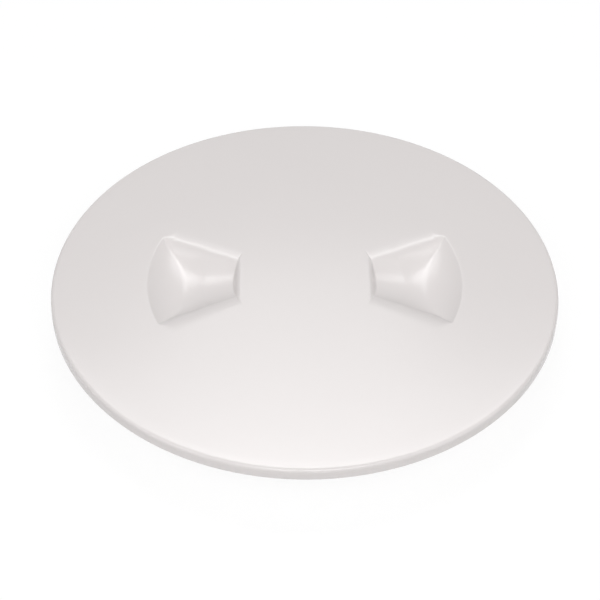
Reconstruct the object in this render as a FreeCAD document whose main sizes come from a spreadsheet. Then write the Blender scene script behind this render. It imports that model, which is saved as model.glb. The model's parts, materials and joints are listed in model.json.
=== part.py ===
"""Screw-out deck inspection plate: a domed cover, the ring that is fixed to the deck, and its seal.

All sizes are in millimetres. The deck plane is z = 0 and +Z points out of the boat. The origin is
the centre of the flange's underside, which is also the centre of the hole that is cut in the deck.
The cover is drawn screwed down, with its two finger recesses along the X axis.
"""
import FreeCAD, Part
import math
import os
import re
import Sketcher

Vector = FreeCAD.Vector

# How closely neighbouring faces have to meet along the edge that they share.
SEAM_TOLERANCE = 0.001

# Driving dimensions, each with what it measures.
SIZES = [
    ("opening_radius", 76.0, "clear opening, measured at the crests of the ring's thread"),
    ("crown_height", 3.0, "rise of the cover's dome from its edge to its middle"),
    ("edge_round", 1.55, "rounding of the cover's outer edge"),
    ("skin", 2.2, "thickness of the domed skin"),
    ("rim_wall", 2.4, "thickness of the turned-down rim"),
    ("rim_clearance", 0.8, "gap between the rim and the flange that it hides"),
    ("rim_gap", 0.4, "height of the rim's lower edge above the deck"),
    ("rim_edge_break", 0.3, "small chamfer on the rim's lower corners"),
    ("seat_gap", 0.2, "room between the flange and the cover's edge"),
    ("skirt_clearance", 0.4, "gap between the skirt and the ring's thread crests"),
    ("skirt_wall", 2.4, "thickness of the threaded skirt under the cover"),
    ("skirt_depth", 13.0, "how far the skirt reaches below the deck plane"),
    ("skirt_lead", 0.8, "chamfer on the skirt's lower outer corner"),
    ("gland_step", 0.2, "how far the smooth land that carries the seal stands out past the opening"),
    ("gland_bottom", -0.2, "height of the land's lower end"),
    ("boss_radius", 5.0, "central boss where the ribs meet"),
    ("rib_bottom", -3.0, "height of the ribs' lower edge"),
    ("rib_wall", 1.8, "thickness of a rib"),
    ("rib_sink", 0.8, "how far a rib's ends reach into the boss and into the skirt"),
    ("rib_count", 8, "ribs under the cover"),
    ("recess_count", 2, "finger recesses in the cover"),
    ("recess_margin", 10.8, "from the skirt to the curved outer end of a finger recess"),
    ("recess_reach", 36.0, "length of a recess, from its curved end to its straight one"),
    ("recess_outer_half_width", 25.3, "half of its width at the outer corners"),
    ("recess_inner_half_width", 11.5, "half of its width at the inner end"),
    ("recess_depth", 5.5, "depth of the bowl below the lip of the outer end"),
    ("bowl_run", 22.0, "how far the bowl's curve reaches in from the outer end"),
    ("recess_side_slope", 0.4, "fall of the two long sides, per millimetre across"),
    ("recess_end_slope", 1.7, "fall of the short inner end, per millimetre along"),
    ("recess_valley_round", 14.0, "rounding where the two long sides meet"),
    ("recess_lip_round", 1.6, "rounding of the recess's lip"),
    ("recess_wall", 2.2, "thickness of the recess's wall under the skin"),
    ("recess_trim", 3.0, "how far the recess's cutting form stands above the skin"),
    ("recess_run_past", 8.0, "how far its long sides are drawn past both ends"),
    ("cut_margin", 20.0, "how far a cutting outline runs past what it cuts"),
    ("flange_thickness", 2.8, "thickness of the flange on the deck"),
    ("flange_edge_break", 0.5, "chamfer on the flange's upper corner"),
    ("flange_width", 16.3, "from the neck to the flange's outer edge"),
    ("neck_wall", 3.4, "thickness of the neck that passes through the deck"),
    ("neck_overhang", 3.0, "how far the neck reaches below the skirt"),
    ("neck_lead", 0.8, "chamfer on the neck's lower corners"),
    ("thread_depth", 1.6, "height of the ring's thread"),
    ("thread_clearance", 0.35, "gap between the cover's thread crests and the ring's wall"),
    ("thread_pitch", 4.2, "rise of the thread for one turn"),
    ("thread_crest", 1.4, "width of a thread ridge at its crest"),
    ("thread_root_sink", 0.3, "how far a ridge's root reaches into its wall"),
    ("thread_inset", 1.6, "from the skirt's foot to the middle of the thread's first end"),
    ("cover_thread_turns", 2.0, "turns of the cover's thread"),
    ("ring_thread_turns", 2.5, "turns of the ring's thread"),
    ("screw_offset", 8.2, "from the neck to the circle that the fixing screws stand on"),
    ("screw_count", 6, "fixing screws"),
    ("screw_hole_radius", 2.25, "hole for a 4 mm countersunk screw"),
    ("screw_head_radius", 4.2, "countersink at the flange's top"),
    ("seal_section_radius", 1.765, "half of the O-ring's thickness before it is squeezed"),
    ("seal_squeeze", 0.1, "share of that thickness that the seat takes up"),
    ("seal_gap", 0.1, "room between the seal and the cover"),
    ("seal_seat_gap", 0.15, "room between the seal and the ring's seat"),
]

# Sizes that follow from the driving ones, written with the sheet's own formulas.
DERIVED = [
    ("ring_wall_radius", "opening_radius + thread_depth"),
    ("neck_radius", "ring_wall_radius + neck_wall"),
    ("neck_depth", "skirt_depth + neck_overhang"),
    ("flange_radius", "neck_radius + flange_width"),
    ("screw_circle_radius", "neck_radius + screw_offset"),
    ("rim_inner_radius", "flange_radius + rim_clearance"),
    ("cover_radius", "rim_inner_radius + rim_wall"),
    ("skirt_radius", "opening_radius - skirt_clearance"),
    ("skirt_inner_radius", "skirt_radius - skirt_wall"),
    ("gland_radius", "opening_radius + gland_step"),
    ("cover_edge_height", "flange_thickness + seat_gap + skin"),
    ("crown_top", "cover_edge_height + crown_height"),
    ("dome_radius", "(cover_radius^2 + crown_height^2) / (2 * crown_height)"),
    ("dome_centre", "crown_top - dome_radius"),
    ("under_radius", "dome_radius - skin"),
    ("edge_side_height",
     "dome_centre + sqrt((dome_radius - edge_round)^2 - (cover_radius - edge_round)^2)"),
    ("edge_top_radius", "(cover_radius - edge_round) * dome_radius / (dome_radius - edge_round)"),
    ("edge_top_height", "dome_centre + sqrt(dome_radius^2 - edge_top_radius^2)"),
    ("thread_base", "thread_pitch - thread_crest"),
    ("cover_crest_radius", "ring_wall_radius - thread_clearance"),
    ("rib_top_radius", "dome_radius - skin / 2"),
    ("cover_thread_start", "thread_inset - skirt_depth"),
    ("ring_thread_start", "cover_thread_start - thread_pitch / 2"),
    ("seal_across", "seal_section_radius * (1 - seal_squeeze)"),
    ("seal_along", "seal_section_radius / (1 - seal_squeeze)"),
    ("seal_extent", "sqrt((seal_across^2 + seal_along^2) / 2)"),
    ("seal_radius", "gland_radius + seal_extent + seal_gap"),
    ("seal_height", "dome_centre + sqrt(under_radius^2 - (seal_radius + seal_extent)^2)"
                    " - seal_extent - seal_gap"),
    ("seat_line", "seal_radius - seal_height + sqrt(2) * (seal_across + seal_seat_gap)"),
    ("recess_outer_radius", "skirt_inner_radius - recess_margin"),
    ("recess_inner_distance", "recess_outer_radius - recess_reach"),
    ("recess_floor_radius", "recess_outer_radius - bowl_run"),
    ("outer_lip_height", "dome_centre + sqrt(dome_radius^2 - recess_outer_radius^2)"),
    ("outer_corner_distance", "sqrt(recess_outer_radius^2 - recess_outer_half_width^2)"),
    ("inner_corner_radius", "sqrt(recess_inner_distance^2 + recess_inner_half_width^2)"),
    ("inner_lip_height", "dome_centre + sqrt(dome_radius^2 - inner_corner_radius^2)"),
    ("recess_length", "outer_corner_distance - recess_inner_distance"),
    ("valley_inner", "inner_lip_height - recess_side_slope * recess_inner_half_width"),
    ("valley_outer", "outer_lip_height - recess_side_slope * recess_outer_half_width"),
    ("valley_slope", "(valley_outer - valley_inner) / recess_length"),
    ("lip_slope", "(outer_lip_height - inner_lip_height) / recess_length"),
    ("side_steepness", "sqrt(1 + recess_side_slope^2)"),
    ("bowl_radius", "(bowl_run^2 + recess_depth^2) / (2 * recess_depth)"),
    ("bowl_floor", "outer_lip_height - recess_depth"),
    ("bowl_centre", "bowl_floor + bowl_radius"),
]

doc = FreeCAD.newDocument("DeckInspectionPlate")
sheet = doc.addObject("Spreadsheet::Sheet", "Sizes")


def fill_sheet():
    """Write every size into the sheet: its meaning, its value or formula, and its alias."""
    row = 1
    for alias, value, meaning in SIZES:
        sheet.set(f"A{row}", meaning)
        sheet.set(f"B{row}", str(value))
        sheet.setAlias(f"B{row}", alias)
        row += 1
    for alias, formula in DERIVED:
        sheet.set(f"A{row}", "follows from the sizes above")
        sheet.set(f"B{row}", "=" + formula)
        sheet.setAlias(f"B{row}", alias)
        row += 1
    doc.recompute()


ALIASES = {entry[0] for entry in SIZES + DERIVED}


def bound(expression):
    """Return the expression with each alias pointed at the sheet."""
    def prefixed(match):
        word = match.group(0)
        return "Sizes." + word if word in ALIASES else word
    return re.sub(r"[a-z_]+", prefixed, expression)


def value_of(expression):
    """Return the number that an expression in the sheet's aliases has now."""
    return float(sheet.evalExpression(bound(expression)))


def plane_of(body, role):
    """Return one of a body's own origin planes or axes."""
    return next(item for item in body.Origin.OriginFeatures if item.Role == role)


def new_body(name):
    """Start a body whose label is also the name of its file."""
    body = doc.addObject("PartDesign::Body", name)
    body.Label = name
    return body


def new_sketch(body, name, role, offset=None):
    """Attach a sketch to one of the body's origin planes, moved along its normal if asked."""
    sketch = body.newObject("Sketcher::SketchObject", name)
    sketch.AttachmentSupport = (plane_of(body, role), [""])
    sketch.MapMode = "FlatFace"
    if offset is not None:
        sketch.setExpression("AttachmentOffset.Base.z", bound(offset))
    return sketch


def pin_down(sketch, geometry, position, corner, label):
    """Fix a point of the sketch at two expressions, measured from the sketch's origin."""
    for axis, expression in (("X", corner[0]), ("Y", corner[1])):
        index = sketch.addConstraint(
            Sketcher.Constraint("Distance" + axis, -1, 1, geometry, position, value_of(expression)))
        name = f"{label}_{axis.lower()}"
        sketch.renameConstraint(index, name)
        sketch.setExpression("Constraints." + name, bound(expression))


def draw_outline(sketch, corners, arcs=None):
    """Draw a closed outline through corners given as expressions.

    arcs maps the number of a side to (radius expression, turn): turn is 1 where the side curves to
    the left on its way round and -1 where it curves to the right. The other sides are straight.
    """
    arcs = arcs or {}
    points = [Vector(value_of(across), value_of(up), 0) for across, up in corners]
    ends = []
    for number, start in enumerate(points):
        stop = points[(number + 1) % len(points)]
        if number not in arcs:
            geometry = sketch.addGeometry(Part.LineSegment(start, stop), False)
            ends.append((geometry, 1, 2))
            continue
        expression, turn = arcs[number]
        radius = value_of(expression)
        chord = stop - start
        side = Vector(-chord.y, chord.x, 0).normalize() * turn
        reach = math.sqrt(radius ** 2 - (chord.Length / 2) ** 2)
        centre = (start + stop) * 0.5 + side * reach
        first, last = (start, stop) if turn > 0 else (stop, start)
        angles = [math.atan2(point.y - centre.y, point.x - centre.x) for point in (first, last)]
        circle = Part.Circle(centre, Vector(0, 0, 1), radius)
        geometry = sketch.addGeometry(Part.ArcOfCircle(circle, angles[0], angles[1]), False)
        ends.append((geometry, 1, 2) if turn > 0 else (geometry, 2, 1))
        index = sketch.addConstraint(Sketcher.Constraint("Radius", geometry, radius))
        sketch.renameConstraint(index, f"side_{number}_radius")
        sketch.setExpression(f"Constraints.side_{number}_radius", bound(expression))
    for number, (geometry, start, stop) in enumerate(ends):
        following = ends[(number + 1) % len(ends)]
        sketch.addConstraint(
            Sketcher.Constraint("Coincident", geometry, stop, following[0], following[1]))
        pin_down(sketch, geometry, start, corners[number], f"corner_{number}")


def revolve(body, sketch, name):
    """Turn a sketch through a full circle about the body's Z axis."""
    feature = body.newObject("PartDesign::Revolution", name)
    feature.Profile = sketch
    feature.ReferenceAxis = (sketch, ["V_Axis"])
    feature.Angle = 360.0
    doc.recompute()
    return feature


def groove(body, sketch, name, axis):
    """Cut the shape that a sketch sweeps about one of its axes, and check that it cuts."""
    before = body.Shape.Volume
    feature = body.newObject("PartDesign::Groove", name)
    feature.Profile = sketch
    feature.ReferenceAxis = (sketch, [axis])
    feature.Angle = 360.0
    doc.recompute()
    if body.Shape.Volume >= before:
        raise RuntimeError(f"{name} cuts nothing")
    return feature


def polar_copies(body, originals, name, count):
    """Repeat features, or the whole body where none are named, about the body's Z axis."""
    pattern = body.newObject("PartDesign::PolarPattern", name)
    if originals:
        pattern.Originals = originals
    else:
        pattern.TransformMode = "Whole shape"
    pattern.Axis = (plane_of(body, "Z_Axis"), [""])
    pattern.Angle = 360.0
    pattern.setExpression("Occurrences", bound(count))
    body.Tip = pattern
    doc.recompute()
    return pattern


def edges_where(shape, test):
    """Name the edges of a shape that pass a test."""
    return [f"Edge{number + 1}" for number, edge in enumerate(shape.Edges) if test(edge)]


def circle_at(radius, height):
    """Return a test for a full circle about Z with this radius and height."""
    def test(edge):
        if edge.Degenerated or not isinstance(edge.Curve, Part.Circle):
            return False
        circle = edge.Curve
        return abs(circle.Radius - radius) < 0.01 and abs(circle.Center.z - height) < 0.01
    return test


def round_edges(body, name, edges, radius):
    """Round edges of the body's tip."""
    if not edges:
        raise RuntimeError(f"{name} finds no edge")
    base = body.Tip
    feature = body.newObject("PartDesign::Fillet", name)
    feature.Base = (base, edges)
    feature.setExpression("Radius", bound(radius))
    body.Tip = feature
    doc.recompute()
    return feature


def bevel_edges(body, name, edges, size):
    """Chamfer edges of the body's tip."""
    if not edges:
        raise RuntimeError(f"{name} finds no edge")
    base = body.Tip
    feature = body.newObject("PartDesign::Chamfer", name)
    feature.Base = (base, edges)
    feature.setExpression("Size", bound(size))
    body.Tip = feature
    doc.recompute()
    return feature


def thread_ridge(body, name, root, crest, start, turns):
    """Carry a trapezoid along a right-hand helix, its root sunk a little into the wall.

    root and crest are radius expressions, start is the height of the ridge's first end.
    """
    outward = value_of(crest) > value_of(root)
    sunk = f"{root} - thread_root_sink" if outward else f"{root} + thread_root_sink"
    sketch = new_sketch(body, name + "_profile", "XZ_Plane")
    draw_outline(sketch, [
        (sunk, f"{start} - thread_base / 2"),
        (root, f"{start} - thread_base / 2"),
        (crest, f"{start} - thread_crest / 2"),
        (crest, f"{start} + thread_crest / 2"),
        (root, f"{start} + thread_base / 2"),
        (sunk, f"{start} + thread_base / 2"),
    ])
    helix = body.newObject("PartDesign::AdditiveHelix", name)
    helix.Profile = sketch
    helix.ReferenceAxis = (sketch, ["V_Axis"])
    helix.Mode = 1
    helix.setExpression("Pitch", bound("thread_pitch"))
    helix.setExpression("Turns", bound(turns))
    helix.LeftHanded = False
    body.Tip = helix
    doc.recompute()
    return helix


def recess_form(name, grow, lift):
    """Build one finger recess as a solid: its hollow, or the outside of its wall.

    Two flat sides fall to a rounded valley under the X axis, a steep flat end closes the narrow
    end, and a bowl turned about Z closes the wide one.

    grow is how far the form's faces stand outside the hollow's, and lift is how far its top is
    above the skin's outer face: below it for the wall.
    """
    body = new_body(name)
    section = new_sketch(body, name + "_section", "YZ_Plane",
                         "recess_inner_distance - recess_run_past")
    valley = f"(valley_inner - valley_slope * recess_run_past - {grow} * side_steepness)"
    valley_round = f"(recess_valley_round + {grow})"
    tangent = f"({valley_round} * recess_side_slope / side_steepness)"
    rise = f"{valley} + recess_side_slope * {tangent}"
    draw_outline(section, [
        (f"0 - {tangent}", rise),
        (tangent, rise),
        ("cut_margin / recess_side_slope", f"{valley} + cut_margin"),
        ("0 - cut_margin / recess_side_slope", f"{valley} + cut_margin"),
    ], {0: (valley_round, 1)})
    sides = body.newObject("PartDesign::Pad", name + "_sides")
    sides.Profile = section
    sides.UseCustomVector = True
    sides.AlongSketchNormal = True
    sides.Direction = Vector(1, 0, value_of("valley_slope"))
    sides.setExpression("Direction.z", bound("valley_slope"))
    sides.setExpression("Length", bound("recess_reach + 2 * recess_run_past"))
    body.Tip = sides
    doc.recompute()

    trim = new_sketch(body, name + "_trim_section", "XZ_Plane")
    end_grow = f"{grow} * sqrt(1 + recess_end_slope^2) / recess_end_slope"
    above = f"({lift} - lip_slope * {end_grow}) / (recess_end_slope + lip_slope)"
    foot = f"recess_inner_distance - {end_grow}"
    far = "recess_outer_radius + 2 * cut_margin"
    top = f"inner_lip_height + {lift} + lip_slope * "
    draw_outline(trim, [
        (f"{foot} - {above}", f"{top} (0 - {end_grow} - {above})"),
        (far, f"{top} ({far} - recess_inner_distance)"),
        (far, "inner_lip_height + 2 * cut_margin"),
        (f"{foot} - 2 * cut_margin", "inner_lip_height + 2 * cut_margin"),
        (f"{foot} - 2 * cut_margin", "inner_lip_height - cut_margin"),
        (f"{foot} + cut_margin / recess_end_slope", "inner_lip_height - cut_margin"),
    ])
    before = body.Shape.Volume
    pocket = body.newObject("PartDesign::Pocket", name + "_trim")
    pocket.Profile = trim
    pocket.Type = "ThroughAll"
    pocket.Midplane = True
    body.Tip = pocket
    doc.recompute()
    if body.Shape.Volume >= before:
        raise RuntimeError(f"{name}_trim cuts nothing")

    bowl = new_sketch(body, name + "_bowl_section", "XZ_Plane")
    top = f"(outer_lip_height + {lift})"
    radius = f"(bowl_radius + {grow})"
    draw_outline(bowl, [
        ("recess_floor_radius", f"bowl_floor - {grow}"),
        (f"recess_floor_radius + sqrt({radius}^2 - (bowl_centre - {top})^2)", top),
        ("recess_outer_radius + 2 * cut_margin", top),
        ("recess_outer_radius + 2 * cut_margin", "bowl_floor - cut_margin"),
        ("0", "bowl_floor - cut_margin"),
        ("0", f"bowl_floor - {grow}"),
    ], {0: (radius, 1)})
    groove(body, bowl, name + "_bowl", "V_Axis")
    polar_copies(body, [], name + "_pair", "recess_count")
    return body


def combine(body, name, kind, tools):
    """Fuse other forms to a body, or cut them from it."""
    feature = body.newObject("PartDesign::Boolean", name)
    feature.Type = kind
    feature.setObjects(tools)
    body.Tip = feature
    doc.recompute()
    return feature


def on_recess_lip(edge):
    """Tell whether an edge lies in the domed face, round a finger recess."""
    if edge.Degenerated or edge.BoundBox.ZMax < 0:
        return False
    centre = Vector(0, 0, value_of("dome_centre"))
    for parameter in (0.1, 0.5, 0.9):
        span = edge.LastParameter - edge.FirstParameter
        point = edge.valueAt(edge.FirstParameter + parameter * span)
        if abs(point.distanceToPoint(centre) - value_of("dome_radius")) > 0.005:
            return False
        if math.hypot(point.x, point.y) > value_of("recess_outer_radius") + 0.01:
            return False
    return True


def dome_form():
    """Build a thick piece of a large ball's skin, whose outer face is the cover's dome.

    It is swept about a line along X through the ball's middle, a little past the cover each way.
    """
    body = new_body("dome_form")
    section = new_sketch(body, "dome_section", "XZ_Plane")
    reach = "(cover_radius + cut_margin)"
    edge = f"dome_centre + sqrt(dome_radius^2 - {reach}^2)"
    draw_outline(section, [
        (f"0 - {reach}", "0 - skirt_depth - cut_margin"),
        (reach, "0 - skirt_depth - cut_margin"),
        (reach, edge),
        (f"0 - {reach}", edge),
    ], {2: ("dome_radius", 1)})
    ends = (("0", "dome_centre"), (reach, "dome_centre"))
    points = [Vector(value_of(across), value_of(up), 0) for across, up in ends]
    axis = section.addGeometry(Part.LineSegment(points[0], points[1]), True)
    pin_down(section, axis, 1, ends[0], "axis_start")
    pin_down(section, axis, 2, ends[1], "axis_end")
    doc.recompute()
    sweep = body.newObject("PartDesign::Revolution", "dome_sweep")
    sweep.Profile = section
    sweep.ReferenceAxis = (section, ["Axis0"])
    sweep.Midplane = True
    sweep.setExpression("Angle", bound(f"2 * asin({reach} / dome_radius)"))
    doc.recompute()
    return body


def build_cover():
    """Mould the cover: domed skin, rim, threaded skirt, ribs and the two finger recesses."""
    body = new_body("cover")
    profile = new_sketch(body, "cover_profile", "XZ_Plane")
    under = "dome_centre + sqrt(under_radius^2 - {0}^2)"
    draw_outline(profile, [
        ("0", "crown_top + skin"),
        ("0", "rib_bottom"),
        ("boss_radius", "rib_bottom"),
        ("boss_radius", under.format("boss_radius")),
        ("skirt_inner_radius", under.format("skirt_inner_radius")),
        ("skirt_inner_radius", "0 - skirt_depth"),
        ("skirt_radius", "0 - skirt_depth"),
        ("skirt_radius", "gland_bottom - gland_radius + skirt_radius"),
        ("gland_radius", "gland_bottom"),
        ("gland_radius", under.format("gland_radius")),
        ("rim_inner_radius", under.format("rim_inner_radius")),
        ("rim_inner_radius", "rim_gap"),
        ("cover_radius", "rim_gap"),
        ("cover_radius", "edge_side_height"),
        ("edge_top_radius", "edge_top_height"),
        ("edge_top_radius - skin", "crown_top + skin"),
    ], {13: ("edge_round", 1)})
    revolve(body, profile, "cover_blank")
    combine(body, "dome", "Common", [dome_form()])
    edge = value_of("cover_radius")
    rim_inner = value_of("rim_inner_radius")
    gap = value_of("rim_gap")

    def rim_corner(item):
        return circle_at(edge, gap)(item) or circle_at(rim_inner, gap)(item)
    bevel_edges(body, "rim_corners", edges_where(body.Tip.Shape, rim_corner), "rim_edge_break")
    skirt_foot = circle_at(value_of("skirt_radius"), -value_of("skirt_depth"))
    bevel_edges(body, "skirt_lead_in", edges_where(body.Tip.Shape, skirt_foot), "skirt_lead")

    rib_profile = new_sketch(body, "rib_profile", "XZ_Plane")
    rib_top = "dome_centre + sqrt(rib_top_radius^2 - {0}^2)"
    rib_start = "(boss_radius - rib_sink)"
    rib_end = "(skirt_inner_radius + rib_sink)"
    draw_outline(rib_profile, [
        (rib_start, rib_top.format(rib_start)),
        (rib_start, "rib_bottom"),
        (rib_end, "rib_bottom"),
        (rib_end, rib_top.format(rib_end)),
    ])
    rib = body.newObject("PartDesign::Pad", "rib")
    rib.Profile = rib_profile
    rib.Midplane = True
    rib.setExpression("Length", bound("rib_wall"))
    body.Tip = rib
    doc.recompute()
    polar_copies(body, [rib], "ribs", "rib_count")

    walls = recess_form("recess_wall_form", "recess_wall", "(0 - skin / 2)")
    combine(body, "recess_walls", "Fuse", [walls])
    hollows = recess_form("recess_hollow_form", "0", "recess_trim")
    combine(body, "recess_hollows", "Cut", [hollows])
    round_edges(body, "recess_lips", edges_where(body.Tip.Shape, on_recess_lip), "recess_lip_round")
    thread_ridge(body, "cover_thread", "skirt_radius", "cover_crest_radius", "cover_thread_start",
                 "cover_thread_turns")
    return body


def build_ring():
    """Mould the mounting ring: flange, neck, seal seat, thread and countersunk screw holes."""
    body = new_body("mounting_ring")
    profile = new_sketch(body, "ring_profile", "XZ_Plane")
    draw_outline(profile, [
        ("seat_line + flange_thickness", "flange_thickness"),
        ("ring_wall_radius", "ring_wall_radius - seat_line"),
        ("ring_wall_radius", "0 - neck_depth"),
        ("neck_radius", "0 - neck_depth"),
        ("neck_radius", "0"),
        ("flange_radius", "0"),
        ("flange_radius", "flange_thickness"),
    ])
    revolve(body, profile, "ring_blank")
    flange_corner = circle_at(value_of("flange_radius"), value_of("flange_thickness"))
    bevel_edges(body, "flange_edge", edges_where(body.Tip.Shape, flange_corner),
                "flange_edge_break")
    foot = -value_of("neck_depth")
    neck = value_of("neck_radius")
    bore = value_of("ring_wall_radius")

    def neck_foot(item):
        return circle_at(neck, foot)(item) or circle_at(bore, foot)(item)
    bevel_edges(body, "neck_corners", edges_where(body.Tip.Shape, neck_foot), "neck_lead")
    places = new_sketch(body, "screw_places", "XY_Plane", "flange_thickness")
    circle = Part.Circle(Vector(value_of("screw_circle_radius"), 0, 0), Vector(0, 0, 1),
                         value_of("screw_hole_radius"))
    places.addGeometry(circle, False)
    radius = places.addConstraint(
        Sketcher.Constraint("Radius", 0, value_of("screw_hole_radius")))
    places.renameConstraint(radius, "hole_radius")
    places.setExpression("Constraints.hole_radius", bound("screw_hole_radius"))
    pin_down(places, 0, 3, ("screw_circle_radius", "0"), "centre")
    doc.recompute()
    hole = body.newObject("PartDesign::Hole", "screw_hole")
    hole.Profile = places
    hole.DepthType = "ThroughAll"
    hole.HoleCutType = "Countersink"
    hole.HoleCutCountersinkAngle = 90.0
    hole.setExpression("Diameter", bound("2 * screw_hole_radius"))
    hole.setExpression("HoleCutDiameter", bound("2 * screw_head_radius"))
    body.Tip = hole
    doc.recompute()
    polar_copies(body, [hole], "screw_holes", "screw_count")
    thread_ridge(body, "ring_thread", "ring_wall_radius", "opening_radius", "ring_thread_start",
                 "ring_thread_turns")
    return body


def build_seal():
    """Make the O-ring that sits on the cover's land, above its thread.

    It is drawn squeezed between the land and the ring's seat: an oval whose short way is square to
    the seat's slope.
    """
    section = doc.addObject("Part::Ellipse", "seal_section")
    section.setExpression("MajorRadius", bound("seal_along"))
    section.setExpression("MinorRadius", bound("seal_across"))
    along_seat = Vector(1, 0, 1)
    across_seat = Vector(-1, 0, 1)
    section.Placement.Rotation = FreeCAD.Rotation(along_seat, across_seat, Vector(0, -1, 0), "ZXY")
    section.setExpression("Placement.Base.x", bound("seal_radius"))
    section.setExpression("Placement.Base.z", bound("seal_height"))
    ring = doc.addObject("Part::Revolution", "o_ring")
    ring.Label = "o_ring"
    ring.Source = section
    ring.Axis = Vector(0, 0, 1)
    ring.Angle = 360.0
    ring.Solid = True
    doc.recompute()
    return ring


def check_document():
    """Stop if an object of the document has failed."""
    for item in doc.Objects:
        if "Invalid" in item.State or "Error" in item.State:
            raise RuntimeError(f"{item.Label} failed: {item.State}")


def write_part(item):
    """Write a finished sub-part as a STEP file that is named after it."""
    shape = item.Shape.copy()
    shape.limitTolerance(SEAM_TOLERANCE)
    if shape.isNull() or not shape.isValid() or len(shape.Solids) != 1:
        raise RuntimeError(f"{item.Label} isn't one valid solid")
    shape.exportStep(f"parts/{item.Label}.step")
    print(item.Label, f"{shape.Volume / 1000:.1f} cm3")


fill_sheet()
sub_parts = [build_cover(), build_ring(), build_seal()]
doc.recompute()
check_document()
os.makedirs("parts", exist_ok=True)
for sub_part in sub_parts:
    write_part(sub_part)
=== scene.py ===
"""Deck inspection plate: its looks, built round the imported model.

The cover is worked out here as one fine surface with its two finger recesses. The mounting ring and
the O-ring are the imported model's own, with finishes from this file. Forms are in millimetres, with
heights above the deck plane, and become metres when they enter a mesh. The studio is in metres.
"""
import json
import logging
import math
from collections.abc import Callable
from dataclasses import dataclass, field
from enum import Enum

import bpy
import numpy as np
from mathutils import Matrix, Vector

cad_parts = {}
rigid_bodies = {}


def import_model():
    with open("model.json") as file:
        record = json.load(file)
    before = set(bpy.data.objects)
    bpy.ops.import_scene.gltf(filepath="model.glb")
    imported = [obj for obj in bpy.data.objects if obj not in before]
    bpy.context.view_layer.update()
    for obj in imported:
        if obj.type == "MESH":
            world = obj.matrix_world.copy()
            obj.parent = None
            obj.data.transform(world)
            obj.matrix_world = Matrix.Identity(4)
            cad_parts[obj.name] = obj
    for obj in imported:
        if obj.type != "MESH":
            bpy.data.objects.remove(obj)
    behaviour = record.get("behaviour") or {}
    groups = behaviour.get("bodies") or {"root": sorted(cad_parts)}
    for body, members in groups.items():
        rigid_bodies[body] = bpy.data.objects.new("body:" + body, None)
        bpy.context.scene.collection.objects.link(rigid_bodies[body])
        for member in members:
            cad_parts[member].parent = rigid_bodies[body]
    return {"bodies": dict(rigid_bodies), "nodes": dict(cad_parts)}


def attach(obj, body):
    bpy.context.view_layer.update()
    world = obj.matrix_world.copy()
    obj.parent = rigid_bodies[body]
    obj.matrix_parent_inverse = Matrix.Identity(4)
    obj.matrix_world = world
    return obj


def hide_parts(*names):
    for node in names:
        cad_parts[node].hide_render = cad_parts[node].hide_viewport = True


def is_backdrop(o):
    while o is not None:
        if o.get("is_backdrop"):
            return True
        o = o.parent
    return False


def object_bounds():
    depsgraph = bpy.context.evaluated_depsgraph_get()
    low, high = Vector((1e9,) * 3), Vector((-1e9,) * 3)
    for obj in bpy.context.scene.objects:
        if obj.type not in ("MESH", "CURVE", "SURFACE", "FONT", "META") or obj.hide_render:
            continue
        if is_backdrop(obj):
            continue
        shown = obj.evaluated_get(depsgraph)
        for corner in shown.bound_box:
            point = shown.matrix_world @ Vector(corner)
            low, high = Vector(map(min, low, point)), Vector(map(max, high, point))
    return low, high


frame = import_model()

LOG = logging.getLogger("deck_plate")
MM = 0.001

# What keeps a division away from 0, and the digits to which places in a grid are told apart.
TINY = 1e-6
GRID_DIGITS = 6

# A Mix node has sockets for every kind of data. These are the numbers of its colour ones.
MIX_SHARE, MIX_FIRST, MIX_SECOND, MIX_RESULT = 0, 6, 7, 2

Colour = tuple[float, float, float]
HeightMap = Callable[[np.ndarray, np.ndarray], np.ndarray]


class MaterialSlot(Enum):
    """The record's material slots."""

    COVER = "cover_plastic"
    RING = "ring_plastic"
    SEAL = "seal_rubber"


def clear_startup(keep: set[bpy.types.Object]) -> None:
    """Remove what Blender's own start-up scene holds.

    Args:
        keep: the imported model's nodes and bodies.
    """
    for item in list(bpy.data.objects):
        if item not in keep:
            bpy.data.objects.remove(item)
    bpy.context.view_layer.update()


def grey(level: float) -> tuple[float, float, float, float]:
    """Return an opaque grey, from 0 for black to 1 for white."""
    return (level, level, level, 1.0)


@dataclass(frozen=True)
class Blotches:
    """A soft noise pattern: blotches for each metre, octaves, and what each octave keeps."""

    scale: float
    octaves: float
    keep: float


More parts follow.
